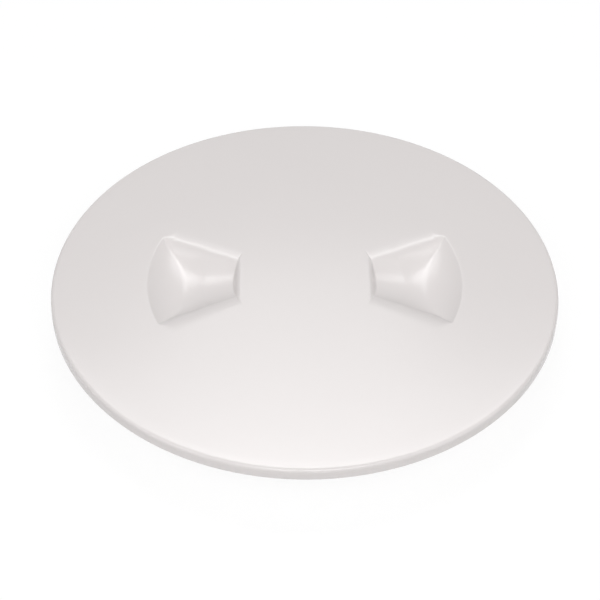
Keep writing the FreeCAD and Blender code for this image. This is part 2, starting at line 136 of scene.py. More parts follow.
@dataclass(frozen=True)
class ShaderGraph:
    """The nodes of a material or of the world, with short calls to add and join them."""

    owner: bpy.types.Material | bpy.types.World

    @property
    def tree(self) -> bpy.types.NodeTree:
        """The owner's node tree."""
        return self.owner.node_tree

    @classmethod
    def start(cls, owner: bpy.types.Material | bpy.types.World) -> "ShaderGraph":
        """Start with no node at all.

        Args:
            owner: the new material or world.

        Returns:
            Its graph.
        """
        owner.use_nodes = True
        owner.node_tree.nodes.clear()
        return cls(owner)

    @classmethod
    def material(cls, name: str) -> "ShaderGraph":
        """Make a material that holds no node yet and return its graph."""
        return cls.start(bpy.data.materials.new(name))

    def add(self, kind: str, **values: object) -> bpy.types.Node:
        """Add a node and set its inputs by name, or its own settings.

        Args:
            kind: the node's type, without the word ShaderNode.
            values: inputs, with an underscore for each space in a name, or settings of the node.

        Returns:
            The new node.
        """
        node = self.tree.nodes.new("ShaderNode" + kind)
        for name, value in values.items():
            socket = node.inputs.get(name.replace("_", " "))
            if socket is None:
                setattr(node, name, value)
            else:
                socket.default_value = value
        return node

    def join(self, source: bpy.types.NodeSocket, target: bpy.types.NodeSocket) -> None:
        """Join an output to an input."""
        self.tree.links.new(source, target)

    def place(self) -> bpy.types.NodeSocket:
        """Return the place on the object, in metres, as a vector output."""
        return self.add("TexCoord").outputs["Object"]

    def noise(self, pattern: Blotches) -> bpy.types.NodeSocket:
        """Add a noise on the object's own coordinates.

        Args:
            pattern: the noise's blotches.

        Returns:
            The noise's value, from 0 to 1.
        """
        node = self.add("TexNoise", Scale=pattern.scale, Detail=pattern.octaves,
                        Roughness=pattern.keep)
        self.join(self.place(), node.inputs["Vector"])
        return node.outputs["Fac"]

    def between(self, value: bpy.types.NodeSocket, low: float, high: float) -> bpy.types.NodeSocket:
        """Stretch a value that runs from 0 to 1.

        Args:
            value: the value to stretch.
            low: what 0 becomes.
            high: what 1 becomes.

        Returns:
            The stretched value.
        """
        node = self.add("MapRange", To_Min=low, To_Max=high)
        self.join(value, node.inputs["Value"])
        return node.outputs["Result"]

    def blend(self, share: bpy.types.NodeSocket, first: Colour,
              second: Colour) -> bpy.types.NodeSocket:
        """Blend two colours.

        Args:
            share: the share of the second colour, from 0 to 1.
            first: the colour at 0.
            second: the colour at 1.

        Returns:
            The blended colour.
        """
        node = self.add("Mix", data_type="RGBA")
        self.join(share, node.inputs[MIX_SHARE])
        node.inputs[MIX_FIRST].default_value = (*first, 1.0)
        node.inputs[MIX_SECOND].default_value = (*second, 1.0)
        return node.outputs[MIX_RESULT]

    def relief(self, pattern: Blotches, height: float) -> bpy.types.NodeSocket:
        """Add a fine relief made of noise.

        Args:
            pattern: the noise's blotches.
            height: the relief's height in metres.

        Returns:
            The surface's normal with the relief on it.
        """
        bump = self.add("Bump", Strength=1.0, Distance=height)
        self.join(self.noise(pattern), bump.inputs["Height"])
        return bump.outputs["Normal"]

    def backdrop_rays(self) -> bpy.types.NodeSocket:
        """Tell which rays see the plain backdrop: the camera's, mirrored and passing ones.

        Returns:
            1 for such a ray and 0 for any other, as the greatest of the three kinds' values.
        """
        path = self.add("LightPath")
        share = path.outputs["Is Camera Ray"]
        for kind in ("Is Glossy Ray", "Is Transmission Ray"):
            either = self.add("Math", operation="MAXIMUM")
            self.join(share, either.inputs[0])
            self.join(path.outputs[kind], either.inputs[1])
            share = either.outputs[0]
        return share

    def finish(self, shader: bpy.types.Node, kind: str = "OutputMaterial") -> None:
        """Send a shader to the output.

        Args:
            shader: the last shader node.
            kind: the output node's type, without the word ShaderNode.
        """
        output = self.add(kind)
        self.join(shader.outputs[0], output.inputs["Surface"])


@dataclass(frozen=True)
class MouldedPlastic:
    """Glossy white moulded plastic, faintly cloudy in colour and gloss, with a faint ripple."""

    name: str
    light_tone: Colour = (0.80, 0.762, 0.754)
    dark_tone: Colour = (0.785, 0.748, 0.740)
    roughness: float = 0.20
    roughness_spread: float = 0.03
    refraction: float = 1.5
    clouds: Blotches = Blotches(22.0, 3.0, 0.5)
    gloss_clouds: Blotches = Blotches(57.2, 4.0, 0.6)
    ripple: Blotches = Blotches(420.0, 2.0, 0.5)
    ripple_height: float = 0.004 * MM

    def material(self) -> bpy.types.Material:
        """Build the material.

        Returns:
            The plastic's material.
        """
        graph = ShaderGraph.material(self.name)
        shader = graph.add("BsdfPrincipled", IOR=self.refraction)
        tone = graph.blend(graph.noise(self.clouds), self.light_tone, self.dark_tone)
        graph.join(tone, shader.inputs["Base Color"])
        gloss = graph.between(graph.noise(self.gloss_clouds),
                              self.roughness - self.roughness_spread,
                              self.roughness + self.roughness_spread)
        graph.join(gloss, shader.inputs["Roughness"])
        graph.join(graph.relief(self.ripple, self.ripple_height), shader.inputs["Normal"])
        graph.finish(shader)
        return graph.owner


@dataclass(frozen=True)
class SealRubber:
    """Smooth black rubber with a dry bloom on it."""

    name: str
    body_tone: Colour = (0.018, 0.018, 0.019)
    bloom_tone: Colour = (0.045, 0.045, 0.044)
    roughness: float = 0.52
    refraction: float = 1.52
    bloom: Blotches = Blotches(60.0, 4.0, 0.6)
    grain: Blotches = Blotches(1600.0, 2.0, 0.5)
    grain_height: float = 0.006 * MM

    def material(self) -> bpy.types.Material:
        """Build the material.

        Returns:
            The rubber's material.
        """
        graph = ShaderGraph.material(self.name)
        shader = graph.add("BsdfPrincipled", IOR=self.refraction, Roughness=self.roughness)
        tone = graph.blend(graph.noise(self.bloom), self.body_tone, self.bloom_tone)
        graph.join(tone, shader.inputs["Base Color"])
        graph.join(graph.relief(self.grain, self.grain_height), shader.inputs["Normal"])
        graph.finish(shader)
        return graph.owner


@dataclass
class SurfaceMesh:
    """Surfaces given as grids of points, gathered into one mesh."""

    name: str
    points: list[np.ndarray] = field(default_factory=list)
    faces: list[np.ndarray] = field(default_factory=list)
    count: int = 0

    def add_points(self, points: np.ndarray) -> np.ndarray:
        """Add points and return their numbers, in the shape of the grid.

        Args:
            points: an array whose last axis holds x, y and z in metres.

        Returns:
            The points' numbers.
        """
        shape = points.shape[:-1]
        numbers = np.arange(self.count, self.count + int(np.prod(shape))).reshape(shape)
        self.points.append(points.reshape(-1, 3))
        self.count += numbers.size
        return numbers

    def add_grid(self, points: np.ndarray, closed: bool) -> np.ndarray:
        """Add a grid of four-sided faces.

        The faces look along the cross product of the first direction and the second one.

        Args:
            points: the grid, rows by columns by three.
            closed: True where the last column joins the first.

        Returns:
            The points' numbers, rows by columns.
        """
        numbers = self.add_points(points)
        around = np.concatenate([numbers, numbers[:, :1]], axis=1) if closed else numbers
        quads = np.stack([around[:-1, :-1], around[1:, :-1], around[1:, 1:], around[:-1, 1:]],
                         axis=-1)
        self.faces.append(quads.reshape(-1, 4))
        return numbers

    def add_fan(self, point: tuple[float, float, float], ring: np.ndarray, opening: bool) -> None:
        """Close a ring of points with triangles to one point.

        Args:
            point: the place of the shared corner.
            ring: the numbers of the ring's points, in order.
            opening: True where the surface starts at that point, False where it ends there.
        """
        tip = self.add_points(np.array([point]))[0]
        following = np.roll(ring, -1)
        pole = np.full_like(ring, tip)
        order = [pole, ring, following] if opening else [ring, pole, following]
        self.faces.append(np.stack(order, axis=-1))

    def add_cap(self, loop: np.ndarray) -> None:
        """Close a flat loop of points with one face."""
        self.faces.append(loop.reshape(1, -1))

    def build(self, crease_angle: float = 30.0) -> bpy.types.Object:
        """Make the object, shaded smooth but for edges that turn more than an angle.

        Args:
            crease_angle: the angle in degrees above which an edge stays sharp.

        Returns:
            The object, in the scene, at the origin.
        """
        mesh = bpy.data.meshes.new(self.name)
        corners = np.concatenate([group.ravel() for group in self.faces])
        sides = np.concatenate([np.full(len(group), group.shape[1]) for group in self.faces])
        starts = np.concatenate([[0], np.cumsum(sides)[:-1]])
        mesh.vertices.add(self.count)
        mesh.vertices.foreach_set("co", np.concatenate(self.points).astype(np.float32).ravel())
        mesh.loops.add(len(corners))
        mesh.loops.foreach_set("vertex_index", corners.astype(np.int32))
        mesh.polygons.add(len(sides))
        mesh.polygons.foreach_set("loop_start", starts.astype(np.int32))
        mesh.polygons.foreach_set("loop_total", sides.astype(np.int32))
        mesh.polygons.foreach_set("use_smooth", np.ones(len(sides), bool))
        mesh.update(calc_edges=True)
        mesh.validate()
        mesh.set_sharp_from_angle(angle=math.radians(crease_angle))
        made = bpy.data.objects.new(self.name, mesh)
        bpy.context.scene.collection.objects.link(made)
        return made


def turned_rings(rings: np.ndarray, angle: np.ndarray) -> np.ndarray:
    """Turn a profile round the Z axis.

    Args:
        rings: the profile, with radius and height of each ring.
        angle: the angles of a ring's points.

    Returns:
        The grid, rings by angles by three.
    """
    radius = rings[:, :1]
    height = np.broadcast_to(rings[:, 1:], (len(rings), len(angle)))
    return np.stack([radius * np.cos(angle), radius * np.sin(angle), height], axis=-1)


def raised_rings(radius: np.ndarray, angle: np.ndarray, height: HeightMap) -> np.ndarray:
    """Lay rings of points on a surface.

    Args:
        radius: the points' radius.
        angle: their angle.
        height: the surface, as a height for each x and y.

    Returns:
        The grid, rings by angles by three.
    """
    x, y = radius * np.cos(angle), radius * np.sin(angle)
    return np.stack([x, y, height(x, y)], axis=-1)


def finer_near(start: float, stop: float, step: float, offsets: np.ndarray,
               ends: tuple[bool, bool]) -> np.ndarray:
    """Divide a stretch into even steps, with given small offsets near one end or both.

    The even steps fill what the offsets leave, in the whole number that comes nearest to the step.

    Args:
        start: where the stretch begins.
        stop: where it ends.
        step: the even step.
        offsets: rising distances from an end, without 0.
        ends: whether the start and the stop are made finer.

    Returns:
        The places from start to stop, both included.
    """
    low = start + offsets if ends[0] else np.array([])
    high = stop - offsets[::-1] if ends[1] else np.array([])
    first = low[-1] if ends[0] else start
    last = high[0] if ends[1] else stop
    even = np.linspace(first, last, max(2, int(round((last - first) / step)) + 1))
    places = np.concatenate([[start], low, even, high, [stop]])
    return np.unique(np.round(places, GRID_DIGITS))


def soft_highest(first: np.ndarray, second: np.ndarray, width: float | np.ndarray) -> np.ndarray:
    """Return the higher of two heights, with a parabola over the crease where they meet.

    Where the two differ by less than the width, the rest of the width, squared and over four
    widths, is added to the higher one.

    Args:
        first: heights of one surface.
        second: heights of the other.
        width: the difference in height over which the two are blended.

    Returns:
        The blended heights.
    """
    share = np.maximum(width - np.abs(first - second), 0)
    return np.maximum(first, second) + share ** 2 / (4 * width)


@dataclass(frozen=True)
class RecessForm:
    """One finger recess, as a height at each place. It is mirrored for the other recess.

    Two hollow sides fall from the straight long lips to a valley under the X axis. A bowl rises to
    the curved outer end, and a steep flat face closes the narrow end. In its methods, grow is how
    far a surface lies outside the hollow's own, for the back of the recess's wall.

    Attributes:
        outer_radius: from the cover's middle to the curved outer lip.
        inner_distance: from the cover's middle to the straight inner lip.
        depth: of the bowl under the outer lip.
        floor_radius: from the cover's middle to where the bowl starts to rise.
        trough_curve: how hollow the sides are.
        bowl_curve: how hollow the bowl is across, where it starts.
        end_slope: how steep the face of the narrow end is.
        least_half_width: what the half width is held at, toward the middle.
        floor_blend: width of the blend between sides and bowl, where the bowl starts.
        corner_blend: the same from blend_reach outward.
        end_blend: width of the blend with the face of the narrow end.
    """

    outer_radius: float = 62.4
    outer_half_width: float = 25.3
    inner_distance: float = 26.4
    inner_half_width: float = 11.5
    outer_lip_height: float = 7.044
    inner_lip_height: float = 7.954
    depth: float = 6.5
    floor_radius: float = 40.0
    trough_curve: float = 0.0767
    bowl_curve: float = 0.07
    end_slope: float = 1.7
    least_half_width: float = 3.0
    floor_blend: float = 4.0
    corner_blend: float = 0.35
    blend_reach: float = 16.0
    end_blend: float = 0.5

    @property
    def inner_corner_radius(self) -> float:
        """How far the inner corners are from the middle."""
        return math.hypot(self.inner_distance, self.inner_half_width)

    @property
    def outer_distance(self) -> float:
        """How far along X the outer corners are."""
        return math.sqrt(self.outer_radius ** 2 - self.outer_half_width ** 2)

    @property
    def lip_run(self) -> float:
        """How far a long lip goes along X."""
        return self.outer_distance - self.inner_distance

    @property
    def lean(self) -> float:
        """How much the half width grows for each millimetre along X."""
        return (self.outer_half_width - self.inner_half_width) / self.lip_run

    @property
    def lip_slope(self) -> float:
        """How much a long lip rises for each millimetre along X, below 0 because it falls."""
        return (self.outer_lip_height - self.inner_lip_height) / self.lip_run

    def lip_angle(self, radius: np.ndarray) -> np.ndarray:
        """Return the angle from the X axis at which the long lip crosses a radius.

        The lip is the straight line from the inner corner to the outer one. Where it crosses a
        circle round the middle is the greater root of a quadratic.

        Args:
            radius: distances from the middle.

        Returns:
            The angles in radians, held at the corners' own beyond the lip's ends.
        """
        lean = self.lean
        offset = self.inner_half_width - lean * self.inner_distance
        held = np.clip(radius, self.inner_corner_radius, self.outer_radius)
        square = 1 + lean ** 2
        across = (-lean * offset + np.sqrt(square * held ** 2 - offset ** 2)) / square
        return np.arctan2(lean * across + offset, across)

    def half_width(self, x: np.ndarray) -> np.ndarray:
        """Return half the distance between the long lips, never less than a small one."""
        wide = self.inner_half_width + self.lean * (np.abs(x) - self.inner_distance)
        return np.maximum(wide, self.least_half_width)

    def reach(self, x: np.ndarray, y: np.ndarray) -> np.ndarray:
        """Return how far a place is past the radius where the bowl starts, 0 before it."""
        return np.maximum(np.hypot(x, y) - self.floor_radius, 0)

    def sides(self, x: np.ndarray, y: np.ndarray, grow: float) -> np.ndarray:
        """Return the height of the hollow sides, which are one parabola across.

        It is under the line of the lips by the trough's curve, times the half width squared less y
        squared, over the root of the half width.

        Args:
            x: places along X.
            y: places along Y.
            grow: how far outside the hollow.

        Returns:
            The heights.
        """
        half = self.half_width(x)
        lip = self.inner_lip_height + self.lip_slope * (np.abs(x) - self.inner_distance)
        steep = np.sqrt(1 + (2 * self.trough_curve * y / np.sqrt(half)) ** 2)
        return lip - self.trough_curve * (half ** 2 - y ** 2) / np.sqrt(half) - grow * steep

    def bowl(self, x: np.ndarray, y: np.ndarray, grow: float) -> np.ndarray:
        """Return the height of the bowl.

        Outward it is an arc, level where it starts and as high as the outer lip where it ends. A
        parabola across is added, which fades away toward that lip.

        Args:
            x: places along X.
            y: places along Y.
            grow: how far outside the hollow.

        Returns:
            The heights.
        """
        run = self.outer_radius - self.floor_radius
        arc = (run ** 2 + self.depth ** 2) / (2 * self.depth)
        centre = self.outer_lip_height - self.depth + arc
        reach = self.reach(x, y)
        fade = np.clip(1 - reach / run, 0, 1)
        return (centre - np.sqrt(np.maximum((arc + grow) ** 2 - reach ** 2, 0))
                + self.bowl_curve * fade ** 2 * y ** 2 / np.sqrt(self.half_width(x)))

    def end_face(self, x: np.ndarray, grow: float) -> np.ndarray:
        """Return the height of the flat face that falls from the lip of the narrow end."""
        return (self.inner_lip_height - self.end_slope * (np.abs(x) - self.inner_distance)
                - grow * math.sqrt(1 + self.end_slope ** 2))

    def height(self, x: np.ndarray, y: np.ndarray, grow: float = 0.0) -> np.ndarray:
        """Return the height of the recess: the highest of its sides, its bowl and its end face.

        The crease between sides and bowl is blended widely on the floor and hardly at the outer
        corners.

        Args:
            x: places along X.
            y: places along Y.
            grow: how far outside the hollow.

        Returns:
            The heights.
        """
        blend = np.interp(self.reach(x, y), [0.0, self.blend_reach],
                          [self.floor_blend, self.corner_blend])
        hopper = soft_highest(self.sides(x, y, grow), self.bowl(x, y, grow), blend)
        return soft_highest(hopper, self.end_face(x, grow), self.end_blend)


@dataclass(frozen=True)
class CoverForm:
    """The cover's sizes, and the heights of its outer and inner skin.

    Attributes:
        crown_top: height of the dome's top.
        edge_height: height at which the dome would meet the rim's wall.
        gland_radius: of the wall above the seal's land, which slopes in to the skirt.
        skirt_lead: size of the chamfer at the skirt's foot.
        rib_sink: how far a rib runs into the boss and the skirt.
        rib_lift: how much higher a rib's foot is inside the boss.
        end_lip_facing: how much the recess's slope faces the middle, from where a long lip ends to
            where an end lip starts.
        corner_reach: how far inside the outer end the long lips' round is still small, and wide.
        slope_step: half the distance over which a slope is measured.
        thread_base: height of the thread at its root.
        thread_crest: its height at its crest.
        thread_sink: how far its root lies inside the skirt.
    """

    radius: float = 100.5
    crown_top: float = 8.2
    edge_height: float = 5.2
    edge_round: float = 1.55
    skin: float = 2.2
    rim_inner_radius: float = 98.1
    rim_foot: float = 0.4
    rim_chamfer: float = 0.3
    gland_radius: float = 76.2
    gland_bottom: float = -0.2
    skirt_radius: float = 75.6
    skirt_inner_radius: float = 73.2
    skirt_foot: float = -13.0
    skirt_lead: float = 0.8
    boss_radius: float = 5.0
    rib_bottom: float = -3.0
    rib_wall: float = 1.8
    rib_sink: float = 0.8
    rib_lift: float = 0.3
    rib_count: int = 8
    recess_wall: float = 2.2
    end_lip_round: float = 1.6
    long_lip_round: float = 10.0
    end_lip_facing: tuple[float, float] = (0.5, 0.9)
    corner_reach: tuple[float, float] = (0.3, 4.0)
    slope_step: float = 0.01
    thread_start: float = -11.4
    thread_turns: float = 2.0
    thread_pitch: float = 4.2
    thread_base: float = 2.8
    thread_crest: float = 1.4
    thread_crest_radius: float = 77.25
    thread_sink: float = 0.3
    recess: RecessForm = RecessForm()

    @property
    def dome_radius(self) -> float:
        """Radius of the ball whose cap is the dome."""
        rise = self.crown_top - self.edge_height
        return (self.radius ** 2 + rise ** 2) / (2 * rise)

    @property
    def edge_top_radius(self) -> float:
        """Radius at which the edge's round leaves the dome."""
        ball = self.dome_radius
        return (self.radius - self.edge_round) * ball / (ball - self.edge_round)

    def dome(self, x: np.ndarray, y: np.ndarray) -> np.ndarray:
        """Return the dome's height: its ball's middle plus the root of R^2 - x^2 - y^2."""
        ball = self.dome_radius
        return self.crown_top - ball + np.sqrt(ball ** 2 - x ** 2 - y ** 2)

    def under(self, radius: np.ndarray) -> np.ndarray:
        """Return the height of the skin's inner face: straight lines between its rings.

        Args:
            radius: distances from the middle.

        Returns:
            The heights. At its rings the face is the skin's thickness inside the dome's ball.
        """
        rings = np.array([self.boss_radius, self.skirt_inner_radius, self.gland_radius,
                          self.rim_inner_radius])
        ball = self.dome_radius
        heights = self.crown_top - ball + np.sqrt((ball - self.skin) ** 2 - rings ** 2)
        return np.interp(radius, rings, heights)

    def recess_slope(self, x: np.ndarray, y: np.ndarray) -> tuple[np.ndarray, np.ndarray]:
        """Return the recess's slope along X and along Y, from heights a small step apart.

        Args:
            x: places along X.
            y: places along Y.

        Returns:
            The two slopes.
        """
        step, height = self.slope_step, self.recess.height
        return ((height(x + step, y) - height(x - step, y)) / (2 * step),
                (height(x, y + step) - height(x, y - step)) / (2 * step))

    def lip_round(self, x: np.ndarray, y: np.ndarray, facing: np.ndarray) -> np.ndarray:
        """Return the radius of the lip's round: wide on the long lips and small on the end ones.

        Near the outer corners the long lips' round shrinks to the end lips'.

        Args:
            x: places along X.
            y: places along Y.
            facing: how much the recess's slope faces the middle: 0 across it, 1 straight at it.

        Returns:
            The radii.
        """
        side = np.interp(facing, self.end_lip_facing, [self.long_lip_round, self.end_lip_round])
        inward = self.recess.outer_radius - np.hypot(x, y)
        corner = np.interp(inward, self.corner_reach, [self.end_lip_round, self.long_lip_round])
        return np.minimum(side, corner)

    def outer_height(self, x: np.ndarray, y: np.ndarray) -> np.ndarray:
        """Return the outer face: the lower of dome and recess, with a round lip between them.

        Where the two differ by less than the lip's width, the rest of the width, squared and over
        four widths, is taken off. The width is what a round of the lip's radius needs: the radius
        times the slope and the tangent of half its angle.

        Args:
            x: places along X.
            y: places along Y.

        Returns:
            The heights.
        """
        dome = self.dome(x, y)
        gap = self.recess.height(x, y) - dome
        slope_x, slope_y = self.recess_slope(x, y)
        slope = np.hypot(slope_x, slope_y)
        facing = np.abs(slope_x * x + slope_y * y) / np.maximum(np.hypot(x, y) * slope, TINY)
        width = self.lip_round(x, y, facing) * np.tan(np.arctan(slope) / 2) * slope + TINY
        share = np.maximum(width - np.abs(gap), 0)
        return dome + np.minimum(gap, 0) - share ** 2 / (4 * width)

    def inner_height(self, x: np.ndarray, y: np.ndarray) -> np.ndarray:
        """Return the inner face: the lower of the skin's and the back of the recess's wall."""
        back = self.recess.height(x, y, self.recess_wall)
        return np.minimum(self.under(np.hypot(x, y)), back)


@dataclass
class Cover:
    """The screw-out cover, one moulding: skin, recesses, rim, skirt, ribs and thread.

    Its grid has a column on each long lip and a row on each end lip.

    Attributes:
        lip_offsets: distances from a lip at which further rows and columns lie.
        fine_step: between rows and columns inside a recess.
        coarse_step: between those outside the recesses.
        middle_step: between rows near the middle, as a share of the way to the inner ends.
        end_step: between the rows just past an inner end, of which there are end_rows.
        edge_rows: rows on the edge's round.
        under_step: between rows on the inner face.
        rib_rows: sections of a rib.
        thread_rows: sections of each turn of the thread.
        crease_angle: the angle in degrees above which an edge stays sharp.
    """

    finish: MouldedPlastic
    form: CoverForm = CoverForm()
    name: str = "cover_moulding"
    body: str = "lid"
    packed_node: str = "cover"
    slot: MaterialSlot = MaterialSlot.COVER
    lip_offsets: tuple[float, ...] = (0.09, 0.18, 0.28, 0.4, 0.55, 0.75, 1.0, 1.35, 1.8)
    fine_step: float = 0.5
    coarse_step: float = 4.0
    middle_step: float = 0.15
    end_step: float = 0.2
    end_rows: int = 17
    edge_rows: int = 12
    under_step: float = 1.2
    rib_rows: int = 60
    thread_rows: int = 180
    crease_angle: float = 32.0

    @property
    def lip_key(self) -> float:
        """The angle that stands for the long lip before the columns follow it."""
        recess = self.form.recess
        return float(recess.lip_angle(np.array([recess.outer_radius]))[0])

    def columns(self) -> np.ndarray:
        """Return the angles of the grid's columns, closer together across the recesses.

        Returns:
            Angles in radians for one turn, before they follow the lips.
        """
        key = self.lip_key
        reach = (self.form.recess.outer_radius + self.form.recess.inner_distance) / 2
        offsets = np.array(self.lip_offsets) / reach
        across = finer_near(-key, key, self.fine_step / reach, offsets, (True, True))
        beside = finer_near(key, math.pi - key, self.coarse_step / self.form.radius, offsets,
                            (True, True))
        half = np.concatenate([across[:-1], beside[:-1]])
        return np.concatenate([half, half + math.pi])

    def follow_lips(self, angle: np.ndarray, radius: np.ndarray) -> np.ndarray:
        """Turn the grid's angles so that one column lies on each long lip.

        Angles across a recess and angles beside it are stretched evenly to the lip's own angle.

        Args:
            angle: the columns' own angles.
            radius: the radius at each point.

        Returns:
            The angles to use at each point.
        """
        key = self.lip_key
        lip = self.form.recess.lip_angle(radius)
        folded = np.mod(angle + key, math.pi) - key
        base = angle - folded
        across = folded * lip / key
        beside = lip + (folded - key) * (math.pi - 2 * lip) / (math.pi - 2 * key)
        return base + np.where(folded <= key, across, beside)

    def inner_end(self, angle: np.ndarray) -> np.ndarray:
        """Return the radius of the row that follows the recesses' straight inner ends.

        It is the inner distance over the cosine of the angle.

        Args:
            angle: the columns' own angles.

        Returns:
            The radii, held at the inner corners' own beside the recesses.
        """
        recess = self.form.recess
        facing = np.maximum(np.abs(np.cos(angle)), TINY)
        return np.minimum(recess.inner_distance / facing, recess.inner_corner_radius)

    def top_rows(self, angle: np.ndarray) -> tuple[np.ndarray, np.ndarray]:
        """Place the rows of the outer face, from near the middle to the edge's round.

        Args:
            angle: the columns' own angles.

        Returns:
            The radius and the angle of each point, rows by columns.
        """
        recess = self.form.recess
        offsets = np.array(self.lip_offsets)
        end = self.inner_end(angle)[None, :]
        middle = finer_near(0.0, 1.0, self.middle_step, offsets / recess.inner_distance,
                            (False, True))
        length = recess.outer_radius - recess.inner_distance
        past_end = self.end_step * np.arange(1, self.end_rows + 1) / length
        floor = finer_near(0.0, 1.0, self.fine_step / length, past_end, (True, False))
        floor = floor[floor < 1 - offsets[-1] / length]
        floor = np.unique(np.concatenate([floor, 1 - offsets / length, [1.0]]))
        beyond = finer_near(recess.outer_radius, self.form.edge_top_radius, self.coarse_step,
                            offsets, (True, False))[1:, None]
        radius = np.concatenate([
            end * middle[1:, None],
            end + (recess.outer_radius - end) * floor[1:, None],
            np.broadcast_to(beyond, (len(beyond), len(angle))),
        ])
        return radius, self.follow_lips(np.broadcast_to(angle, radius.shape), radius)

    def side_profile(self) -> np.ndarray:
        """Draw the profile from the edge's round over rim and skirt to the skirt's inner wall.

        The edge's round is an arc that leaves the dome smoothly and ends upright.

        Returns:
            Radius and height of each ring.
        """
        form = self.form
        ball = form.dome_radius
        hub = form.radius - form.edge_round
        hub_height = form.crown_top - ball + math.sqrt((ball - form.edge_round) ** 2 - hub ** 2)
        start = math.asin(hub / (ball - form.edge_round))
        turn = np.linspace(start, math.pi / 2, self.edge_rows)[1:]
        rounded = np.stack([hub + form.edge_round * np.sin(turn),
                            hub_height + form.edge_round * np.cos(turn)], axis=-1)
        corner = form.rim_chamfer
        lead = form.skirt_lead
        land = form.gland_bottom - (form.gland_radius - form.skirt_radius)
        rings = np.array([
            (form.radius, form.rim_foot + corner),
            (form.radius - corner, form.rim_foot),
            (form.rim_inner_radius + corner, form.rim_foot),
            (form.rim_inner_radius, form.rim_foot + corner),
            (form.rim_inner_radius, float(form.under(form.rim_inner_radius))),
            (form.gland_radius, float(form.under(form.gland_radius))),
            (form.gland_radius, form.gland_bottom),
            (form.skirt_radius, land),
            (form.skirt_radius, form.skirt_foot + lead),
            (form.skirt_radius - lead, form.skirt_foot),
            (form.skirt_inner_radius, form.skirt_foot),
            (form.skirt_inner_radius, float(form.under(form.skirt_inner_radius))),
        ])
        return np.concatenate([rounded, rings])

    def add_skin(self, surface: SurfaceMesh) -> None:
        """Add the closed shell: outer face, rim, skirt, inner face and boss, in one grid.

        Each row is a ring of the profile. The outer and the inner face take their heights from the
        form, and the rings between them keep one height all round.

        Args:
            surface: the mesh that gets the shell.
        """
        form = self.form
        angle = self.columns()
        outer = raised_rings(*self.top_rows(angle), form.outer_height)
        rim_angle = self.follow_lips(angle, np.full(len(angle), form.radius))
        side = turned_rings(self.side_profile(), rim_angle)
        inward = np.arange(form.skirt_inner_radius - self.under_step, form.boss_radius,
                           -self.under_step)[:, None]
        inner = raised_rings(inward, rim_angle, form.inner_height)
        boss = turned_rings(np.array([
            (form.boss_radius, float(form.under(form.boss_radius))),
            (form.boss_radius, form.rib_bottom),
            (form.boss_radius / 2, form.rib_bottom),
        ]), rim_angle)
        numbers = surface.add_grid(np.concatenate([outer, side, inner, boss]) * MM, True)
        surface.add_fan((0, 0, form.crown_top * MM), numbers[0], True)
        surface.add_fan((0, 0, form.rib_bottom * MM), numbers[-1], False)

    def rib_plate(self, turn: float) -> np.ndarray:
        """Draw one rib: a flat plate from the boss to the skirt, its top inside the skin.

        The end inside the boss is lifted, so that no two faces lie in one plane.

        Args:
            turn: the rib's direction, in radians from the X axis.

        Returns:
            The plate's grid, sections by four corners by three.
        """
        form = self.form
        along = np.linspace(form.boss_radius - form.rib_sink,
                            form.skirt_inner_radius + form.rib_sink, self.rib_rows)
        half = form.rib_wall / 2
        way = np.array([math.cos(turn), math.sin(turn)])
        side = np.array([-way[1], way[0]])
        middle = along[:, None] * way
        top = (form.outer_height(middle[:, 0], middle[:, 1])
               + form.inner_height(middle[:, 0], middle[:, 1])) / 2
        low = np.full_like(top, form.rib_bottom)
        low[0] += form.rib_lift
        corners = [(half, low), (half, top), (-half, top), (-half, low)]
        return np.stack([np.column_stack([middle + side * shift, height])
                         for shift, height in corners], axis=1)

    def add_ribs(self, surface: SurfaceMesh) -> None:
        """Add the ribs, evenly round the boss.

        Args:
            surface: the mesh that gets the ribs.
        """
        for number in range(self.form.rib_count):
            plate = self.rib_plate(2 * math.pi * number / self.form.rib_count)
            numbers = surface.add_grid(plate * MM, True)
            surface.add_cap(numbers[0])
            surface.add_cap(numbers[-1, ::-1])

    def add_thread(self, surface: SurfaceMesh) -> None:
        """Add the thread: a trapezoid carried up a right-hand helix, its root sunk in the skirt.

        Its height is where it starts, plus the pitch for each turn, plus the trapezoid's own level.

        Args:
            surface: the mesh that gets the thread.
        """
        form = self.form
        rows = round(self.thread_rows * form.thread_turns) + 1
        turn = np.linspace(0, 2 * math.pi * form.thread_turns, rows)[:, None]
        root, crest = form.skirt_radius, form.thread_crest_radius
        sunk = root - form.thread_sink
        base, top = form.thread_base / 2, form.thread_crest / 2
        reach = np.array([sunk, root, crest, crest, root, sunk])
        level = np.array([base, base, top, -top, -base, -base])
        height = form.thread_start + form.thread_pitch * turn / (2 * math.pi) + level
        ridge = np.stack([reach * np.cos(turn), reach * np.sin(turn), height], axis=-1)
        numbers = surface.add_grid(ridge * MM, True)
        surface.add_cap(numbers[0])
        surface.add_cap(numbers[-1, ::-1])

    def build(self) -> bpy.types.Object:
        """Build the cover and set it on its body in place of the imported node.

        Returns:
            The finished cover.
        """
        surface = SurfaceMesh(self.name)
        self.add_skin(surface)
        self.add_ribs(surface)
        self.add_thread(surface)
        made = surface.build(self.crease_angle)
        made.data.materials.append(self.finish.material())
        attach(made, self.body)
        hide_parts(self.packed_node)
        return made


@dataclass
class PackedPiece:
    """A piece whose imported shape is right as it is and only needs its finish."""

    node: str
    finish: MouldedPlastic | SealRubber
    slot: MaterialSlot

    def build(self) -> bpy.types.Object:
        """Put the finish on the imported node.

        Returns:
            The node's object.
        """
        made = frame["nodes"][self.node]
        material = self.finish.material()
        for holder in made.material_slots:
            holder.material = material
        return made


